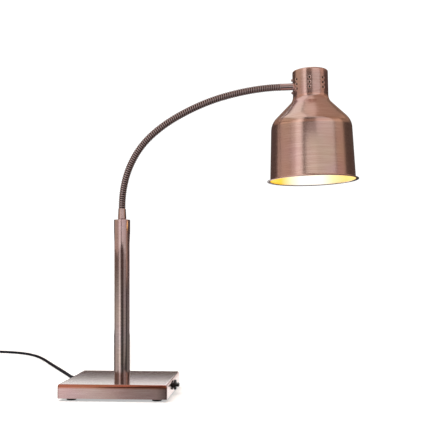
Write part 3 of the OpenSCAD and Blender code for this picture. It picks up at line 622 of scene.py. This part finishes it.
halfLink = shadeSpot["linkLength"] / 2
for joint in range(len(turns) + 1):
    centre = joint * shadeSpot["linkLength"]
    first = -hoseSet["lead"] if joint == 0 else centre - halfLink
    last = centre + hoseSet["overRod"] if joint == len(turns) else centre + halfLink
    skin = makePiece(f"hose_length_{joint + 1}", [hoseGrid(first, last, hoseSet)], [hoseCopper],
                     60)
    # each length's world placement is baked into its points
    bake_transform(skin)
    if joint < len(turns):
        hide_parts(f"arm_link_{joint + 1}")

# the smooth rod that the shade hangs on, with a thinner end through the shade's neck
rodRows = profile((0.003, 0.0012), (0.0062, 0.0012), (0.0065, 0.0016), (0.0065, 0.0266), (0.005, 0.0268),
                  (0.005, 0.0348), (0.003, 0.0348))
upperRod = ringPiece("shade_rod", rodRows, jointPoints[-1], rodWay, 48, [copperTube])
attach(upperRod, "head")
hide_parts("upper_rod")
print("arm ready")

# Shade

shadeSet = {"columns": 120, "sheet": 0.0012, "body": 0.0805, "shoulder": 0.0765, "shoulderHeight": 0.096,
            "shoulderRadius": 0.032, "hollow": 0.021, "neck": 0.0335, "top": 0.208, "topRadius": 0.003,
            "lip": 0.0865, "lipRadius": 0.003, "rod": 0.18, "ventRadius": 0.002, "ventRow": 0.009,
            "ventStep": 48, "ventAcross": 16, "ventDown": 6, "dish": 0.0006, "dishWidth": 0.0016}


# half of the shade's section by height over the rim, moved inwards by an inset: body, shoulder, cone and hollow
def shadeFlank(s, inset):
    hub = np.array([s["shoulder"] - s["shoulderRadius"], s["shoulderHeight"]])
    reach = hub.sum() + s["shoulderRadius"] * math.sqrt(2)
    hollowX = s["neck"] + s["hollow"]
    hollow = np.array([hollowX, reach + s["hollow"] * math.sqrt(2) - hollowX])
    shoulder = arcPoints(*hub, s["shoulderRadius"] - inset, 0, 45, 14)
    inner = arcPoints(*hollow, s["hollow"] + inset, 225, 180, 14)
    lip = s["lipRadius"]
    foot = arcPoints(s["body"] + lip, lip + 0.0012, lip + inset, 270, 180, 6)
    flank = np.linspace(foot[-1], shoulder[0], 9)[1:-1]
    cone = np.linspace(shoulder[-1], inner[0], 7)[1:-1]
    return profile(foot, flank, shoulder, cone, inner)


# the neck's band of vent holes, unrolled as (angle, height): each cell runs from a round hole to its square border
def ventCells(s, radius):
    across, down = s["ventAcross"], s["ventDown"]
    halfA, halfH = math.radians(s["ventStep"] / 2), s["ventRow"] / 2
    a = np.linspace(-halfA, halfA, across + 1)
    h = np.linspace(-halfH, halfH, down + 1)
    border = np.concatenate([np.stack([a[:-1], 0 * a[:-1] - halfH], 1), np.stack([0 * h[:-1] + halfA, h[:-1]], 1),
                             np.stack([a[:0:-1], 0 * a[:0:-1] + halfH], 1), np.stack([0 * h[:0:-1] - halfA, h[:0:-1]], 1)])
    aim = np.arctan2(border[:, 1], border[:, 0] * radius)
    hole = s["ventRadius"] * np.stack([np.cos(aim) / radius, np.sin(aim)], 1)
    share = np.linspace(0, 1, 12)[:, None, None] ** 2.2
    cell = hole + (border - hole) * share
    off = np.hypot(cell[..., 0] * radius, cell[..., 1]) - s["ventRadius"]
    dish = s["dish"] * np.clip(1 - off / s["dishWidth"], 0, 1) ** 2
    centres = [(math.radians(k * s["ventStep"]), z * s["ventRow"]) for k in range(-3, 4) for z in (-1, 0, 1)]
    return [cell + np.array(centre) for centre in centres], [hole + np.array(centre) for centre in centres], dish[..., None]


# from (angle, height over the rod's level) on the neck to the row frame
shadeAcross = np.cross((0, 1, 0), shadeUp)                       # the shade's own X


def onNeck(flat, radius):
    return (shadeAt + radius * (np.cos(flat[..., 0:1]) * shadeAcross + np.sin(flat[..., 0:1]) * np.array([0.0, 1.0, 0.0]))
            + flat[..., 1:2] * shadeUp)


# the same for spun rows, so that both meet point for point
def shadeSpun(s, rows):
    phi = np.linspace(0, 2 * np.pi, s["columns"], endpoint=False)
    flat = np.stack(np.broadcast_arrays(phi[:, None], rows[None, :, 1] - s["rod"]), -1)
    return onNeck(flat, rows[None, :, 0:1])


def shadeGrids(s):
    band = 1.5 * s["ventRow"]
    heights = np.linspace(-band, band, 3 * s["ventDown"] + 1) + s["rod"]
    grids = []
    for inset, finish in ((0.0, 0), (s["sheet"], 1)):
        radius = s["neck"] - inset
        low = profile(shadeFlank(s, inset), (radius, s["rod"] - band))
        top = arcPoints(s["neck"] - s["topRadius"], s["top"] - s["topRadius"], s["topRadius"] - inset, 0, 90, 6)
        high = profile((radius, s["rod"] + band), top, (0.012, s["top"] - inset), (0, s["top"] - inset))
        lowFinish = np.tile(np.where(np.arange(len(low) - 1) < 3, 0, finish), s["columns"])
        grids += [{"points": shadeSpun(s, low), "wrapRows": True, "wrapCols": False, "finish": lowFinish},
                  {"points": shadeSpun(s, high), "wrapRows": True, "wrapCols": False, "finish": finish}]
        cells, holes, dish = ventCells(s, s["neck"])
        grids += [{"points": onNeck(cell, radius - dish), "finish": finish} for cell in cells]
        gap = np.radians(np.linspace(180 - 12, 180 + 12, 9))
        flat = np.stack(np.broadcast_arrays(gap[:, None], heights[None] - s["rod"]), -1)
        grids.append({"points": onNeck(flat, radius), "wrapCols": False, "finish": finish})
    for hole in holes:
        rims = [onNeck(hole, s["neck"] - s["dish"] - inset) for inset in (0, s["sheet"])]
        grids.append({"points": np.stack(rims), "finish": 0})
    edge = s["body"] + s["lipRadius"]
    lipTop, lipLow = 0.0012, 0.0
    outer = profile((edge, lipTop), (s["lip"] - 0.0008, lipTop), arcPoints(s["lip"] - 0.0009, 0.0009, 0.0009, 70, -90, 6),
                    (edge, lipLow))
    grids.append({"points": shadeSpun(s, outer), "wrapRows": True, "wrapCols": False, "finish": 0})
    return grids


lampShade = makePiece("shade_shell", shadeGrids(shadeSet), [copperSpun, goldInsideWithPaintedGlow], 32, 2e-6)
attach(lampShade, "head")
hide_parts("lamp_shade")

# two dome headed screws beside the rod
screwSet = {"spread": 0.012, "head": 0.0025, "dome": 0.0028, "shank": 0.00195, "length": 0.0076}
screwRows = profile((0, -screwSet["length"]), (screwSet["shank"], -screwSet["length"]), (screwSet["shank"], 0.0),
                    (screwSet["head"], 0.0), (screwSet["head"], 0.0012),
                    np.stack([screwSet["head"] * np.cos(np.radians(np.linspace(12, 90, 8))),
                              0.0012 + 0.0016 * np.sin(np.radians(np.linspace(12, 90, 8)))], 1))
neckFoot = shadeAt - shadeSet["neck"] * shadeAcross
screwGrids = [{"points": spunGrid(screwRows, neckFoot + z * screwSet["spread"] * shadeUp, -shadeAcross, 28)}
              for z in (-1, 1)]
neckScrews = makePiece("neck_screw_pair", screwGrids, [copperTube])
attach(neckScrews, "head")
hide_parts("bracket_screws")

# the reflector lamp: a domed face, a round edge and a hollow cone up to the screw cap
lampSet = {"radius": 0.0625, "face": -0.164, "wide": -0.124, "cap": 0.0132, "capFoot": -0.0305}
lampRows = profile((0, lampSet["face"]), (0.02, lampSet["face"] + 0.0008), (0.038, lampSet["face"] + 0.0032),
                   arcPoints(0.0365, lampSet["face"] + 0.029, 0.026, -70, 0, 10),
                   smoothRoute([(0.0625, -0.127, 0), (0.0617, -0.117, 0), (0.0563, -0.1, 0), (0.048, -0.0855, 0),
                                (0.0388, -0.07, 0), (0.0295, -0.0575, 0), (0.022, -0.048, 0), (0.0175, -0.038, 0),
                                (0.0155, -0.033, 0), (0.0122, -0.022, 0)], 3)[:, :2], (0, -0.022))
lampGlass = makePiece("lamp_envelope", [{"points": spunGrid(lampRows, shadeAt, shadeUp, 96)}], [lampGlow],
                      50)
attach(lampGlass, "head")
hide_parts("bulb_glass")
print("shade and lamp ready")

# Dimmer knob

knobSet = {"at": (0.101, 0.0, 0.018), "skirt": 0.0097, "skirtHeight": 0.0044, "barHalf": 0.0035, "barReach": 0.0091,
           "barTop": 0.01, "soft": 0.0009}
k = knobSet
skirtRows = profile((0, 0.0024), (0.0075, 0.0024), (0.0075, 0), (k["skirt"], 0),
                    arcPoints(k["skirt"] - 0.0012, k["skirtHeight"] - 0.001, 0.001, 0, 90, 5), (0, k["skirtHeight"]))


# the grip: a long oval |y / a|^4 + |z / b|^2.6 = 1, narrowed in the middle, with a soft top edge
def gripGrid(s):
    turn = np.linspace(0, 2 * np.pi, 64, endpoint=False)
    y = s["barReach"] * np.sign(np.cos(turn)) * np.abs(np.cos(turn)) ** 0.5
    z = s["barHalf"] * np.sign(np.sin(turn)) * np.abs(np.sin(turn)) ** 0.77
    z *= 1 - 0.12 * np.exp(-(y / 0.005) ** 2)
    rows = profile((0, s["skirtHeight"] - 0.0005), (1, s["skirtHeight"] - 0.0005), (1, s["barTop"] - s["soft"]),
                   (0.975, s["barTop"] - 0.0004), (0.9, s["barTop"]), (0, s["barTop"]))
    at = np.array(s["at"])
    return at + np.stack([np.broadcast_to(rows[:, 1:2], (len(rows), 64)), rows[:, 0:1] * y[None], rows[:, 0:1] * z[None]], -1)


dimmerKnob = makePiece("dimmer_knob_cap", [{"points": spunGrid(skirtRows, k["at"], (1, 0, 0), 64)},
                                           {"points": gripGrid(knobSet)}], [knobPlastic], 32)
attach(dimmerKnob, "knob")
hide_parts("dimmer_knob")
print("knob ready")

# Finishes of the parts that keep their CAD shape

cadFinish = {"base_plate": zincSteel, "ballast": blackSteel, "plate_screws": zincSteel, "foot_screws": zincSteel,
             "foot_nuts": zincSteel, "column_foot": zincSteel, "column_stud": zincSteel, "stud_nut": zincSteel,
             "column_cap": copperTube, "column_lead": sheathPvc, "terminal_block": porcelain,
             "dimmer_body": knobPlastic, "dimmer_nut": zincSteel, "dimmer_shaft": nickel, "rod_nut": zincSteel,
             "holder_bracket": zincSteel, "bracket_nuts": zincSteel, "lamp_holder": porcelain,
             "holder_screw": zincSteel, "holder_contact": brassCap, "bulb_cap": brassCap, "gland_nut": nylon,
             "plug_earth": nickel}
for name, material in cadFinish.items():
    holder = cadNodes[name]
    for slot in holder.material_slots:
        slot.material = material
print("carried parts finished")

# Floor, lights and surroundings


# pale matt floor; it glows a little to the eye alone, so that the far floor meets the white surroundings
def floorFinish():
    material, tree = newMaterial("pale studio floor")
    place = addNode(tree, "ShaderNodeTexCoord")
    away = addNode(tree, "ShaderNodeVectorMath", {"operation": "LENGTH"}, {0: place.outputs["Object"]})
    far = addNode(tree, "ShaderNodeMapRange", {"From Min": 0.5, "From Max": 2.2, "To Min": 0.42, "To Max": 1.05},
                  {"Value": away.outputs["Value"]})
    seen = addNode(tree, "ShaderNodeLightPath")
    strength = addNode(tree, "ShaderNodeMath", {"operation": "MULTIPLY"}, {0: far.outputs[0], 1: seen.outputs[0]})
    matt = addNode(tree, "ShaderNodeBsdfDiffuse", {"Color": linearColour("#F4F3F1")})
    glow = addNode(tree, "ShaderNodeEmission", {"Color": (1, 1, 1, 1)}, {"Strength": strength.outputs[0]})
    both = addNode(tree, "ShaderNodeAddShader", {}, {0: matt.outputs[0], 1: glow.outputs[0]})
    endMaterial(tree, both)
    return material


floorPale = floorFinish()


# flat ring between two radii, as a stage piece
def floorRing(name, inner, outer):
    turn = np.linspace(0, 2 * np.pi, 96, endpoint=False)
    grid = np.stack([np.stack([r * np.cos(turn) + 0.1, r * np.sin(turn), 0 * turn], 1) for r in (inner, outer)])
    mesh = bpy.data.meshes.new(name)
    mesh.from_pydata(grid.reshape(-1, 3).tolist(), [], gridFaces(2, 96)[:, ::-1].tolist())
    mesh.materials.append(floorPale)
    ring = bpy.data.objects.new(name, mesh)
    bpy.context.scene.collection.objects.link(ring)
    return ring


floor = floorRing("floor", 0.0, 60.0)
floor.visible_glossy = False                                     # the metal mirrors the surroundings below instead


# a rectangle of light: width, height, radiance; it faces the target point and the eye doesn't see it
def softBox(name, place, target, width, height, radiance, colour="#FFFFFF", glossy=True):
    lamp = bpy.data.lights.new(name, "AREA")
    lamp.shape, lamp.size, lamp.size_y = "RECTANGLE", width, height
    lamp.energy = radiance * math.pi * width * height
    lamp.color = linearColour(colour)[:3]
    holder = bpy.data.objects.new(name, lamp)
    holder.location = place
    way = np.array(target, float) - np.array(place, float)
    flat = math.hypot(way[0], way[1])
    holder.rotation_euler = (math.atan2(flat, -way[2]), 0, math.atan2(way[1], way[0]) - math.pi / 2)
    holder.visible_camera = False
    holder.visible_glossy = glossy
    bpy.context.scene.collection.objects.link(holder)
    return holder


# an upright panel in front of the lamp or behind it, at y and facing it, from one corner to the other
def panel(name, fromX, toX, low, high, y, radiance, colour="#FFFFFF"):
    middle = ((fromX + toX) / 2, y, (low + high) / 2)
    return softBox(name, middle, (middle[0], y + (1 if y < 0 else -1), middle[2]), toX - fromX, high - low, radiance, colour)


softBox("key_above", (-0.5, -0.4, 1.9), (0.1, 0, 0), 1.6, 1.6, 2.2, glossy=False)
# a level panel over the lamp, shining down, from one corner to the other
def overPanel(name, fromX, toX, fromY, toY, z, radiance, colour="#FFFFFF"):
    middle = ((fromX + toX) / 2, (fromY + toY) / 2, z)
    return softBox(name, middle, (middle[0], middle[1] + 0.0001, 0), toX - fromX, toY - fromY, radiance, colour)


panel("left_bright", -0.62, -0.13, 0.42, 1.6, -0.9, 1.1)
panel("left_bright_low", -0.62, -0.2, -0.085, 0.42, -0.9, 0.78)
panel("left_foot", -0.8, -0.15, -0.6, -0.085, -0.9, 0.32, "#EEEEFF")
panel("left_dim", -1.35, -0.62, 0.42, 1.6, -0.9, 0.62, "#FFF4EE")
panel("left_low", -1.35, -0.62, -0.085, 0.42, -0.9, 0.16)
softBox("left_side", (-1.35, -0.1, 0.9), (0, -0.1, 0.9), 1.5, 1.0, 0.5, "#FFECDA")
softBox("left_side_low", (-1.35, -0.1, -0.1), (0, -0.1, -0.1), 1.5, 1.0, 0.12, "#FFECDA")
panel("right_high", 0.5, 2.0, 0.42, 1.6, -0.9, 0.66)
panel("right_low", 0.55, 1.8, -0.09, 0.42, -0.9, 0.36)
panel("middle_window", 0.03, 0.5, 0.45, 0.71, -0.9, 0.8)
panel("middle_dim", 0.12, 0.5, 0.71, 1.35, -0.9, 0.1)
panel("middle_top", 0.12, 0.5, 1.35, 1.6, -0.9, 0.6)
softBox("right_warm", (1.75, -0.3, 0.8), (0.3, -0.3, 0.8), 0.75, 1.2, 0.45, "#FFE4D0")
overPanel("over_far_left", -1.5, -0.7, -0.9, 1.1, 1.62, 0.5, "#FFECDA")
overPanel("over_left", -0.7, 0.1, -0.9, 1.1, 1.62, 0.95)
overPanel("over_middle", 0.14, 0.5, -0.9, 1.1, 1.62, 0.7, "#FFF2EA")
overPanel("over_right", 0.5, 2.0, -0.9, 1.1, 1.62, 0.36, "#FFDCC4")
softBox("behind_low", (-0.06, 0.33, 0.212), (-0.06, 0, 0.212), 0.8, 0.25, 1.25, "#F2FCFF")
softBox("right_end", (0.21, 0.55, -0.07), (0.21, 0, -0.07), 0.3, 0.3, 1.1)

world = bpy.data.worlds.new("studio surroundings")
bpy.context.scene.world = world
world.use_nodes = True
tree = world.node_tree
tree.nodes.clear()
direction = addNode(tree, "ShaderNodeTexCoord")
xyz = addNode(tree, "ShaderNodeSeparateXYZ", {}, {0: direction.outputs["Generated"]})
towards = addNode(tree, "ShaderNodeMath", {"operation": "MAXIMUM", 1: 0.05},
                  {0: addNode(tree, "ShaderNodeMath", {"operation": "MULTIPLY", 1: -1.0}, {0: xyz.outputs[1]}).outputs[0]})
slant = addNode(tree, "ShaderNodeMath", {"operation": "DIVIDE"}, {0: xyz.outputs[0], 1: towards.outputs[0]})
frontLow = addNode(tree, "ShaderNodeMapRange", {"From Min": -0.3, "From Max": 0.0, "To Min": 0.55, "To Max": 0.09},
                   {"Value": slant.outputs[0]})
back = addNode(tree, "ShaderNodeMapRange", {"From Min": -0.2, "From Max": 0.2}, {"Value": xyz.outputs[1]})
backLow = addNode(tree, "ShaderNodeMapRange", {"From Min": 0.2, "From Max": 0.85, "To Min": 0.3, "To Max": 0.06},
                  {"Value": xyz.outputs[1]})
low = addNode(tree, "ShaderNodeMix", {"data_type": "FLOAT"}, {0: back.outputs[0], 2: frontLow.outputs[0],
              3: backLow.outputs[0]})
high = addNode(tree, "ShaderNodeValToRGB", {"stops": [(0.0, "#5C504C"), (0.3, "#5C504C"), (0.4, "#A58C7C"),
               (0.55, "#8A7264"), (0.68, "#4A403D"), (1.0, "#6E6663")]}, {0: xyz.outputs[2]})
upDown = addNode(tree, "ShaderNodeMapRange", {"From Min": -0.05, "From Max": 0.0}, {"Value": xyz.outputs[2]})
sky = addNode(tree, "ShaderNodeMix", {"data_type": "RGBA"}, {0: upDown.outputs[0], 6: low.outputs[0],
              7: high.outputs[0]})
dim = addNode(tree, "ShaderNodeBackground", {"Strength": 1.0}, {"Color": sky.outputs[2]})
white = addNode(tree, "ShaderNodeBackground", {"Color": (1, 1, 1, 1), "Strength": 1.1})
seen = addNode(tree, "ShaderNodeLightPath")
mixed = addNode(tree, "ShaderNodeMixShader", {}, {0: seen.outputs[0], 1: dim.outputs[0], 2: white.outputs[0]})
addNode(tree, "ShaderNodeOutputWorld", {}, {"Surface": mixed.outputs[0]})
print("stage ready")
